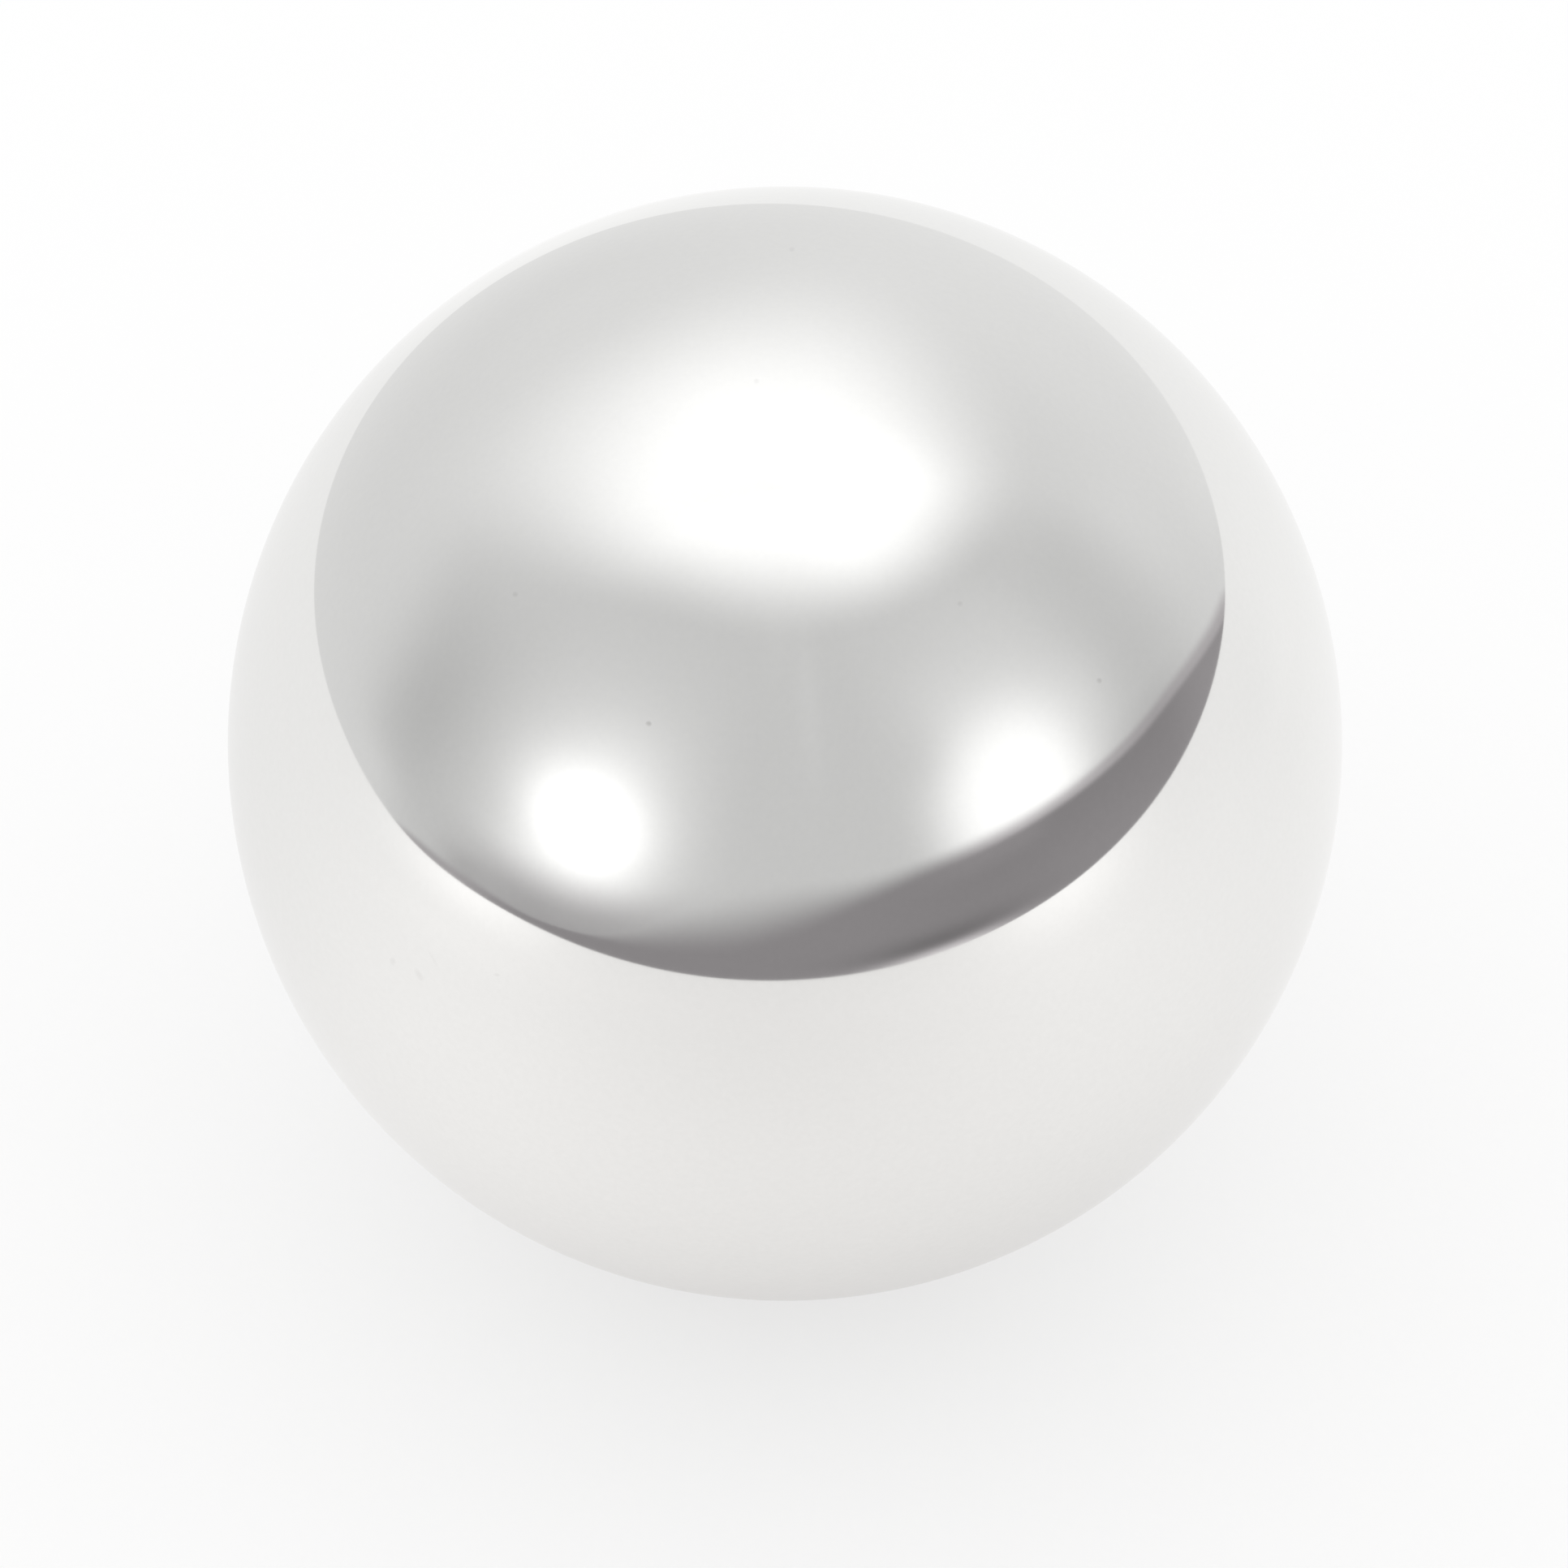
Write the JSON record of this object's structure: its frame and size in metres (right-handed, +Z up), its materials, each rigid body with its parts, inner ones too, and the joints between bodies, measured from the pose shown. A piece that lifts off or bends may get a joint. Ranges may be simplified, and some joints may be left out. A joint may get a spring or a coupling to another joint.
{
  "type": "steel ball",
  "caption": "Solid polished steel ball, a true sphere with a mirror finish, that rolls, seats in a socket or race, or rests in a ring or dimple.",
  "frame": {"origin": "the centre of the ball", "axes": "+Z is up, away from the seat that holds the ball; every line through the centre is an axis of symmetry"},
  "size_m": [0.05, 0.05, 0.05],
  "materials": {
    "polished_steel": "bare hardened steel, lapped and polished to a mirror, with a very faint haze and a few tiny pits"
  },
  "bodies": {
    "root": {"ball": "polished_steel"}
  },
  "joints": []
}
